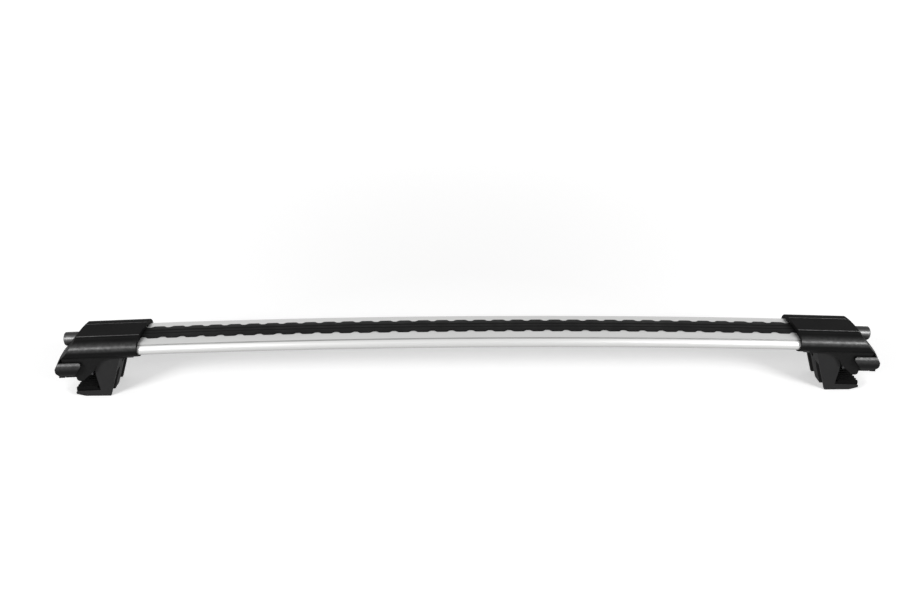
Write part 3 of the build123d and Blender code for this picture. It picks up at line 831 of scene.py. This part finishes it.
def drawn_group():
    """Drawn lines: noise stretched along the bar, fine for the height and broad for the tone."""
    tree, given, out = new_group(
        "drawn_lines",
        [("Contrast", 1.0)],
        [("Height", "NodeSocketFloat"), ("Tone", "NodeSocketFloat")],
    )
    fine = stretched_noise(tree, stretch=(2.0, 1400.0, 1400.0), detail=2.0)
    broad = stretched_noise(tree, stretch=(1.2, 130.0, 130.0), detail=3.0)
    tree.links.new(fine, out.inputs["Height"])
    # Each noise averages a half, so this mix of them averages three quarters
    mixed = arithmetic(tree, "ADD", product(tree, fine, 0.5), broad)
    centred = arithmetic(tree, "SUBTRACT", mixed, 0.75)
    scaled = product(tree, centred, given.outputs["Contrast"])
    tree.links.new(arithmetic(tree, "ADD", scaled, 0.5, clamp=True), out.inputs["Tone"])
    return tree


def scuff_group():
    """Light scuffs: thin broken scratches from two stretched noises that cross."""
    tree, given, out = new_group("light_scuffs", [("Amount", 0.5)], [("Mask", "NodeSocketFloat")])
    lengthwise = stretched_noise(tree, stretch=(14.0, 420.0, 260.0), detail=2.0)
    crosswise = stretched_noise(tree, stretch=(300.0, 22.0, 260.0), detail=2.0)
    first = remap(tree, lengthwise, low=0.66, high=0.72)
    second = remap(tree, crosswise, low=0.69, high=0.74)
    both = arithmetic(tree, "MAXIMUM", first, second)
    tree.links.new(product(tree, both, given.outputs["Amount"]), out.inputs["Mask"])
    return tree


def shoulder_group():
    """Burnished shoulders: rounded faces that look out and a little up, where hands rub, in soft patches."""
    tree, given, out = new_group("burnished_shoulders", [("Amount", 1.0)], [("Mask", "NodeSocketFloat")])
    _, outward, up = split_axes(tree, surface_normal(tree))
    rise = remap(tree, up, low=-0.12, high=0.42, smooth=True)
    fall = remap(tree, up, low=0.72, high=0.97, out_low=1.0, out_high=0.0)
    facing = remap(tree, arithmetic(tree, "ABSOLUTE", outward), low=0.15, high=0.55)
    cloud = stretched_noise(tree, scale=210.0, detail=4.0)
    patch = remap(tree, cloud, low=0.35, high=0.65, out_low=0.55, out_high=1.0)
    shoulder = product(tree, rise, fall, facing, patch, given.outputs["Amount"])
    tree.links.new(shoulder, out.inputs["Mask"])
    return tree


def groove_shade_group():
    """Painted shade on the bar: in its two grooves, found by place in the arched section, and under its
    noses, by the normal.
    """
    tree, _, out = new_group("painted_groove_shade", [], [("Mask", "NodeSocketFloat")])
    x, y, z = split_axes(tree, object_place(tree))
    reach = hypotenuse(tree, x, arithmetic(tree, "SUBTRACT", z, float(ARCH_CENTRE_Z)))
    height = arithmetic(tree, "SUBTRACT", reach, ARCH_RADIUS + GROOVE_Z)
    across = arithmetic(tree, "SUBTRACT", arithmetic(tree, "ABSOLUTE", y), GROOVE_Y)
    away = hypotenuse(tree, across, height)
    # Painted shade in the two grooves, full near their middle and clear further out
    grooves = remap(tree, away, low=GROOVE_SHADE_FULL, high=GROOVE_SHADE_CLEAR, out_low=1.0, out_high=0.0)
    _, _, up = split_axes(tree, surface_normal(tree))
    # Painted shade under the noses, on faces that look down
    under = remap(tree, up, low=-0.25, high=-0.80, out_low=0.0, out_high=0.45)
    tree.links.new(arithmetic(tree, "MAXIMUM", grooves, under), out.inputs["Mask"])
    return tree


GROUPS = {
    "grooves": groove_shade_group,
    "shoulders": shoulder_group,
    "grain": grain_group,
    "edges": edge_group,
    "dust": dust_group,
    "drawn": drawn_group,
    "scuffs": scuff_group,
}
built_groups = {}


def place_group(tree, kind, **values):
    """A group node in a material, built once and given its own values."""
    if kind not in built_groups:
        built_groups[kind] = GROUPS[kind]()
    node = tree.nodes.new("ShaderNodeGroup")
    node.node_tree = built_groups[kind]
    for label, value in values.items():
        node.inputs[label].default_value = value
    return node


# Finishes
def new_finish(name, metallic=0.0, specular=0.5):
    """A material with a Principled shader."""
    material = bpy.data.materials.new(name)
    material.use_nodes = True
    tree = material.node_tree
    shader = tree.nodes["Principled BSDF"]
    shader.inputs["Metallic"].default_value = metallic
    shader.inputs["Specular IOR Level"].default_value = specular
    return material, tree, shader


def lighter(colour, times, add=0.0):
    """A colour made lighter by a factor and an even amount."""
    return tuple(min(1.0, part * times + add) for part in colour)


def uneven_rough(tree, tone, rough, less, more, low=0.3, high=0.7):
    """Roughness that goes from a little less to a little more than its middle with a tone."""
    return remap(tree, tone, low=low, high=high, out_low=rough - less, out_high=rough + more)


def moulded_finish(name, colour, grain, depth, rough, dust, round_edge, specular, burnish=0.0):
    """Moulded plastic: pebble grain, uneven sheen, rubbed edges, burnished shoulders and a little dust."""
    material, tree, shader = new_finish(name, specular=specular)
    if burnish > 0.0:
        shoulders = place_group(tree, "shoulders", Amount=burnish)
        tree.links.new(shoulders.outputs["Mask"], shader.inputs["Coat Weight"])
        shader.inputs["Coat IOR"].default_value = BURNISH_IOR
        shader.inputs["Coat Roughness"].default_value = BURNISH_ROUGH * rough
    pebble = place_group(tree, "grain", Scale=grain)
    edges = place_group(tree, "edges", Radius=round_edge)
    settled = place_group(tree, "dust", Amount=dust)
    scuffs = place_group(tree, "scuffs", Amount=0.35)
    sheen = tint(tree, pebble.outputs["Sheen"], lighter(colour, times=0.85), lighter(colour, times=1.2))
    worn = tint(tree, edges.outputs["Mask"], sheen, lighter(colour, times=2.2, add=0.01))
    dusty = tint(tree, settled.outputs["Mask"], worn, PLASTIC_DUST)
    tree.links.new(dusty, shader.inputs["Base Color"])
    level = uneven_rough(tree, pebble.outputs["Sheen"], rough, less=0.05, more=0.05)
    marked = product(tree, scuffs.outputs["Mask"], PLASTIC_SCUFF)
    tree.links.new(arithmetic(tree, "ADD", level, marked, clamp=True), shader.inputs["Roughness"])
    normal = bump(tree, pebble.outputs["Height"], depth, GRAIN_DEPTH, edges.outputs["Normal"])
    tree.links.new(normal, shader.inputs["Normal"])
    return material


def rubber_finish(name, colour, rough, dust, specular):
    """Rubber: dull, fine grained, greyer where dust lies."""
    material, tree, shader = new_finish(name, specular=specular)
    pebble = place_group(tree, "grain", Scale=2600.0)
    settled = place_group(tree, "dust", Amount=dust)
    base = tint(tree, pebble.outputs["Sheen"], lighter(colour, times=0.8), lighter(colour, times=1.3))
    dusty = tint(tree, settled.outputs["Mask"], base, RUBBER_DUST)
    tree.links.new(dusty, shader.inputs["Base Color"])
    level = uneven_rough(tree, pebble.outputs["Sheen"], rough, less=0.08, more=0.08)
    tree.links.new(level, shader.inputs["Roughness"])
    normal = bump(tree, pebble.outputs["Height"], strength=0.12, distance=GRAIN_DEPTH)
    tree.links.new(normal, shader.inputs["Normal"])
    return material


def drawn_metal(name, colour, rough, contrast, depth, round_edge, shade_grooves=False):
    """Metal drawn or turned along the bar: fine lines in tone, sheen and height, with rubbed edges."""
    material, tree, shader = new_finish(name, metallic=1.0)
    lines = place_group(tree, "drawn", Contrast=contrast)
    edges = place_group(tree, "edges", Radius=round_edge)
    scuffs = place_group(tree, "scuffs", Amount=0.4)
    toned = tint(tree, lines.outputs["Tone"], lighter(colour, times=0.93), lighter(colour, times=1.05))
    base = tint(tree, edges.outputs["Mask"], toned, lighter(colour, times=1.12))
    if shade_grooves:
        # Painted shade: the grooves and the undersides of the noses are darkened in the colour
        painted_shade = place_group(tree, "grooves").outputs["Mask"]
        base = tint(tree, painted_shade, base, lighter(colour, times=0.2))
    tree.links.new(base, shader.inputs["Base Color"])
    level = uneven_rough(tree, lines.outputs["Tone"], rough, less=0.04, more=0.05, low=0.2, high=0.8)
    marked = product(tree, scuffs.outputs["Mask"], METAL_SCUFF)
    tree.links.new(arithmetic(tree, "ADD", level, marked, clamp=True), shader.inputs["Roughness"])
    normal = bump(tree, lines.outputs["Height"], depth, LINE_DEPTH, edges.outputs["Normal"])
    tree.links.new(normal, shader.inputs["Normal"])
    return material


def cast_finish(name, colour, rough):
    """Coated casting: coarse pebble, with bare metal where the coat has rubbed off its edges."""
    material, tree, shader = new_finish(name)
    pebble = place_group(tree, "grain", Scale=700.0)
    edges = place_group(tree, "edges", Radius=0.0006)
    base = tint(tree, pebble.outputs["Sheen"], lighter(colour, times=0.8), lighter(colour, times=1.3))
    worn = tint(tree, edges.outputs["Mask"], base, BARE_CASTING)
    tree.links.new(worn, shader.inputs["Base Color"])
    tree.links.new(edges.outputs["Mask"], shader.inputs["Metallic"])
    level = uneven_rough(tree, pebble.outputs["Sheen"], rough, less=0.06, more=0.06)
    tree.links.new(level, shader.inputs["Roughness"])
    normal = bump(tree, pebble.outputs["Height"], 0.3, CAST_DEPTH, edges.outputs["Normal"])
    tree.links.new(normal, shader.inputs["Normal"])
    return material


def dress(material, *nodes):
    """Give CAD nodes a finish in place of the plain one they came with."""
    for name in nodes:
        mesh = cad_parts[name].data
        mesh.materials.clear()
        mesh.materials.append(material)


def both_feet(*names):
    """Names of the nodes of both feet."""
    return [f"{side}_{name}" for side, _ in SIDES for name in names]


# Operators
class CROSSBAR_OT_bar(bpy.types.Operator):
    """Finish the aluminium bar and its end plugs"""

    bl_idname = "crossbar.bar"
    bl_label = "Bar"

    def execute(self, context):
        finish = context.scene.crossbar_finish
        metal = drawn_metal(
            "anodised_aluminium",
            finish.aluminium,
            rough=0.42,
            contrast=0.8,
            depth=0.10,
            round_edge=0.0004,
            shade_grooves=True,
        )
        plug = moulded_finish(
            "plug_plastic",
            finish.leg,
            grain=1200.0,
            depth=0.25,
            rough=0.55,
            dust=0.05,
            round_edge=0.0005,
            specular=0.1,
        )
        dress(metal, "crossbar")
        dress(plug, *both_feet("bar_plug"))
        return {"FINISHED"}


class CROSSBAR_OT_strip(bpy.types.Operator):
    """Make the scalloped rubber strip in the upper slot"""

    bl_idname = "crossbar.strip"
    bl_label = "Rubber strip"

    def execute(self, context):
        finish = context.scene.crossbar_finish
        rubber = rubber_finish("strip_rubber", finish.rubber, rough=0.60, dust=0.03, specular=0.10)
        dress(rubber, "rubber_strip")
        surface = strip_surface(context.scene.crossbar_strip)
        faces = tube_faces(*surface.shape[:2], capped=True)
        strip = add_piece("scalloped_strip", surface, faces, rubber, "bar")
        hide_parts("rubber_strip")
        return {"FINISHED"}


class CROSSBAR_OT_covers(bpy.types.Operator):
    """Finish the moulded foot covers and end doors"""

    bl_idname = "crossbar.covers"
    bl_label = "Covers and doors"

    def execute(self, context):
        finish = context.scene.crossbar_finish
        cover = moulded_finish(
            "cover_plastic",
            finish.cover,
            grain=1700.0,
            depth=0.16,
            rough=0.44,
            dust=0.02,
            round_edge=0.0012,
            specular=0.01,
            burnish=0.55,
        )
        door = moulded_finish(
            "door_plastic",
            finish.cover,
            grain=1700.0,
            depth=0.12,
            rough=0.40,
            dust=0.02,
            round_edge=0.0010,
            specular=0.04,
            burnish=0.36,
        )
        dress(cover, *both_feet("foot_cover"))
        dress(door, *both_feet("end_door"))
        return {"FINISHED"}


class CROSSBAR_OT_legs(bpy.types.Operator):
    """Finish the clamp legs, their pads and the saddles"""

    bl_idname = "crossbar.legs"
    bl_label = "Legs and saddles"

    def execute(self, context):
        finish = context.scene.crossbar_finish
        leg = moulded_finish(
            "leg_plastic",
            finish.leg,
            grain=1100.0,
            depth=0.35,
            rough=0.58,
            dust=0.03,
            round_edge=0.0010,
            specular=0.04,
            burnish=0.2,
        )
        pad = rubber_finish("pad_rubber", finish.rubber, rough=0.80, dust=0.1, specular=0.05)
        casting = cast_finish("cast_bracket", finish.casting, rough=0.55)
        dress(leg, *both_feet("clamp_leg"))
        dress(pad, *both_feet("lip_pad", "saddle_pad"))
        dress(casting, *both_feet("saddle_bracket"))
        return {"FINISHED"}


class CROSSBAR_OT_drives(bpy.types.Operator):
    """Make the threaded studs and finish the clamp drives and fasteners"""

    bl_idname = "crossbar.drives"
    bl_label = "Clamp drives"

    def execute(self, context):
        finish = context.scene.crossbar_finish
        zinc = drawn_metal("zinc_steel", finish.zinc, rough=0.34, contrast=1.2, depth=0.15, round_edge=0.0004)
        dark = drawn_metal(
            "dark_steel",
            lighter(finish.zinc, times=0.12),
            rough=0.45,
            contrast=1.0,
            depth=0.15,
            round_edge=0.0004,
        )
        dress(zinc, *both_feet("clamp_stud", "sleeve_nut", "nut_washer", "slide_nuts"))
        dress(dark, *both_feet("saddle_screws", "door_pins"))
        for side, hand in SIDES:
            surface = stud_surface(context.scene.crossbar_drive, hand)
            faces = foot_faces(surface, hand, capped=True)
            name = f"{side}_threaded_stud"
            stud = add_piece(name, surface, faces, zinc, f"{side}_leg", THREAD_CREASE)
            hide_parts(f"{side}_clamp_stud")
        return {"FINISHED"}


class CROSSBAR_OT_locks(bpy.types.Operator):
    """Make the turned lock barrels and finish the plugs and cams"""

    bl_idname = "crossbar.locks"
    bl_label = "Locks"

    def execute(self, context):
        finish = context.scene.crossbar_finish
        barrel = moulded_finish(
            "lock_black",
            finish.cover,
            grain=2200.0,
            depth=0.06,
            rough=0.46,
            dust=0.02,
            round_edge=0.0006,
            specular=0.3,
            burnish=1.0,
        )
        nickel = drawn_metal(
            "lock_metal",
            lighter(finish.zinc, times=1.1),
            rough=0.25,
            contrast=1.0,
            depth=0.10,
            round_edge=0.0003,
        )
        dress(barrel, *both_feet("lock_barrel"))
        dress(nickel, *both_feet("lock_plug", "lock_cam"))
        for side, hand in SIDES:
            surface = barrel_surface(context.scene.crossbar_lock, hand)
            faces = foot_faces(surface, hand, capped=False)
            turned = add_piece(f"{side}_turned_barrel", surface, faces, barrel, f"{side}_foot")
            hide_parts(f"{side}_lock_barrel")
        return {"FINISHED"}


class CROSSBAR_OT_stage(bpy.types.Operator):
    """Set up the pale floor, the soft light and the camera"""

    bl_idname = "crossbar.stage"
    bl_label = "Floor, light and camera"

    def execute(self, context):
        scene = context.scene
        settings = scene.crossbar_stage
        scene.view_settings.view_transform = "Standard"
        self.make_floor(scene, settings)
        self.make_world(scene, settings)
        for side, hand in SIDES:
            self.add_lamp(scene, settings, side, hand)
        self.make_camera(scene, settings)
        return {"FINISHED"}

    def make_floor(self, scene, settings):
        """A wide flat floor with a very faint mottle, seen whiter further out by camera and reflections."""
        reach = np.array([-settings.floor_reach, settings.floor_reach])
        x, y = np.meshgrid(reach, reach)
        points = np.stack([x, y, np.zeros_like(x)], axis=-1).reshape(-1, 3)
        mesh = bpy.data.meshes.new("pale_floor")
        mesh.from_pydata(points, [], [[0, 1, 3, 2]])
        floor = bpy.data.objects.new("pale_floor", mesh)
        scene.collection.objects.link(floor)
        material, tree, shader = new_finish("pale_floor", specular=0.2)
        mottle = stretched_noise(tree, scale=3.0)
        pale = settings.floor
        colour = tint(tree, mottle, lighter(pale, times=0.995), lighter(pale, times=1.005))
        tree.links.new(colour, shader.inputs["Base Color"])
        shader.inputs["Roughness"].default_value = FLOOR_ROUGH
        distance = tree.nodes.new("ShaderNodeVectorMath")
        distance.operation = "LENGTH"
        tree.links.new(object_place(tree), distance.inputs[0])
        glow = remap(
            tree,
            distance.outputs["Value"],
            low=settings.glow_start,
            high=settings.glow_end,
            out_low=settings.glow_near,
            out_high=settings.glow_far,
        )
        shader.inputs["Emission Color"].default_value = (1.0, 1.0, 1.0, 1.0)
        tree.links.new(product(tree, glow, seen_rays(tree)), shader.inputs["Emission Strength"])
        mesh.materials.append(material)

    def make_world(self, scene, settings):
        """Even light from all around, and plain white where camera or reflection looks past the floor."""
        world = bpy.data.worlds.new("studio")
        scene.world = world
        world.use_nodes = True
        tree = world.node_tree
        back = tree.nodes["Background"]
        back.inputs["Color"].default_value = (1.0, 1.0, 1.0, 1.0)
        strength = remap(tree, seen_rays(tree), low=0.0, high=1.0, out_low=settings.sky, out_high=1.0)
        tree.links.new(strength, back.inputs["Strength"])

    def add_lamp(self, scene, settings, side, hand):
        """A soft rectangular lamp in front of a foot, which looks at a point on the bar."""
        data = bpy.data.lights.new(f"{side}_front_lamp", "AREA")
        data.shape = "RECTANGLE"
        data.size, data.size_y = settings.lamp_size
        data.energy = settings.front
        lamp = bpy.data.objects.new(f"{side}_front_lamp", data)
        scene.collection.objects.link(lamp)
        place = np.array(settings.lamp_place) * (hand, 1.0, 1.0)
        target = np.array([settings.lamp_aim * FOOT_X * hand, 0.0, BAR_Z])
        back = (place - target) / np.linalg.norm(place - target)
        level = np.cross((0.0, 0.0, 1.0), back)
        right = level / np.linalg.norm(level)
        lamp.matrix_world = self.pose(right, np.cross(back, right), back, place)

    def make_camera(self, scene, settings):
        """The camera: level along the bar's depth, then rolled, pitched and yawed."""
        yaw, pitch, roll = settings.camera_turn
        turn = Matrix.Rotation(yaw, 3, "Z") @ Matrix.Rotation(pitch, 3, "X") @ Matrix.Rotation(roll, 3, "Y")
        axes = np.array(turn)
        data = bpy.data.cameras.new("camera")
        data.sensor_fit = "HORIZONTAL"
        data.sensor_width = settings.sensor
        data.lens = settings.lens
        data.clip_start = CLIP_START
        camera = bpy.data.objects.new("camera", data)
        scene.collection.objects.link(camera)
        camera.matrix_world = self.pose(axes[:, 0], axes[:, 2], -axes[:, 1], settings.camera_place)
        scene.camera = camera

    def pose(self, right, up, back, place):
        """Matrix from three axes and a place."""
        matrix = np.eye(4)
        matrix[:3, 0] = right
        matrix[:3, 1] = up
        matrix[:3, 2] = back
        matrix[:3, 3] = place
        return Matrix(matrix.tolist())


# Panel and registration
class CROSSBAR_PT_panel(bpy.types.Panel):
    """Pieces and settings of the crossbar"""

    bl_idname = "CROSSBAR_PT_panel"
    bl_label = "Crossbar"
    bl_space_type = "VIEW_3D"
    bl_region_type = "UI"
    bl_category = "Crossbar"

    def draw(self, context):
        layout = self.layout
        for step in STEPS:
            layout.operator(step.bl_idname, text=step.bl_label)
        for group in SETTINGS:
            box = layout.box()
            box.label(text=group.__doc__)
            settings = getattr(context.scene, SETTINGS[group])
            for name in group.__annotations__:
                box.prop(settings, name)


STEPS = (
    CROSSBAR_OT_bar,
    CROSSBAR_OT_strip,
    CROSSBAR_OT_covers,
    CROSSBAR_OT_legs,
    CROSSBAR_OT_drives,
    CROSSBAR_OT_locks,
    CROSSBAR_OT_stage,
)
SETTINGS = {
    StripSettings: "crossbar_strip",
    DriveSettings: "crossbar_drive",
    LockSettings: "crossbar_lock",
    FinishSettings: "crossbar_finish",
    StageSettings: "crossbar_stage",
}


def register():
    """Register the settings, the operators and the panel."""
    for group, name in SETTINGS.items():
        bpy.utils.register_class(group)
        setattr(bpy.types.Scene, name, PointerProperty(type=group))
    for cls in (*STEPS, CROSSBAR_PT_panel):
        bpy.utils.register_class(cls)


def unregister():
    """Take everything out again."""
    for cls in (CROSSBAR_PT_panel, *reversed(STEPS)):
        bpy.utils.unregister_class(cls)
    for group, name in SETTINGS.items():
        delattr(bpy.types.Scene, name)
        bpy.utils.unregister_class(group)


def main():
    """Register the steps, then build every piece and the stage."""
    register()
    bpy.ops.crossbar.bar()
    bpy.ops.crossbar.strip()
    bpy.ops.crossbar.covers()
    bpy.ops.crossbar.legs()
    bpy.ops.crossbar.drives()
    bpy.ops.crossbar.locks()
    bpy.ops.crossbar.stage()


if __name__ == "__main__":
    main()
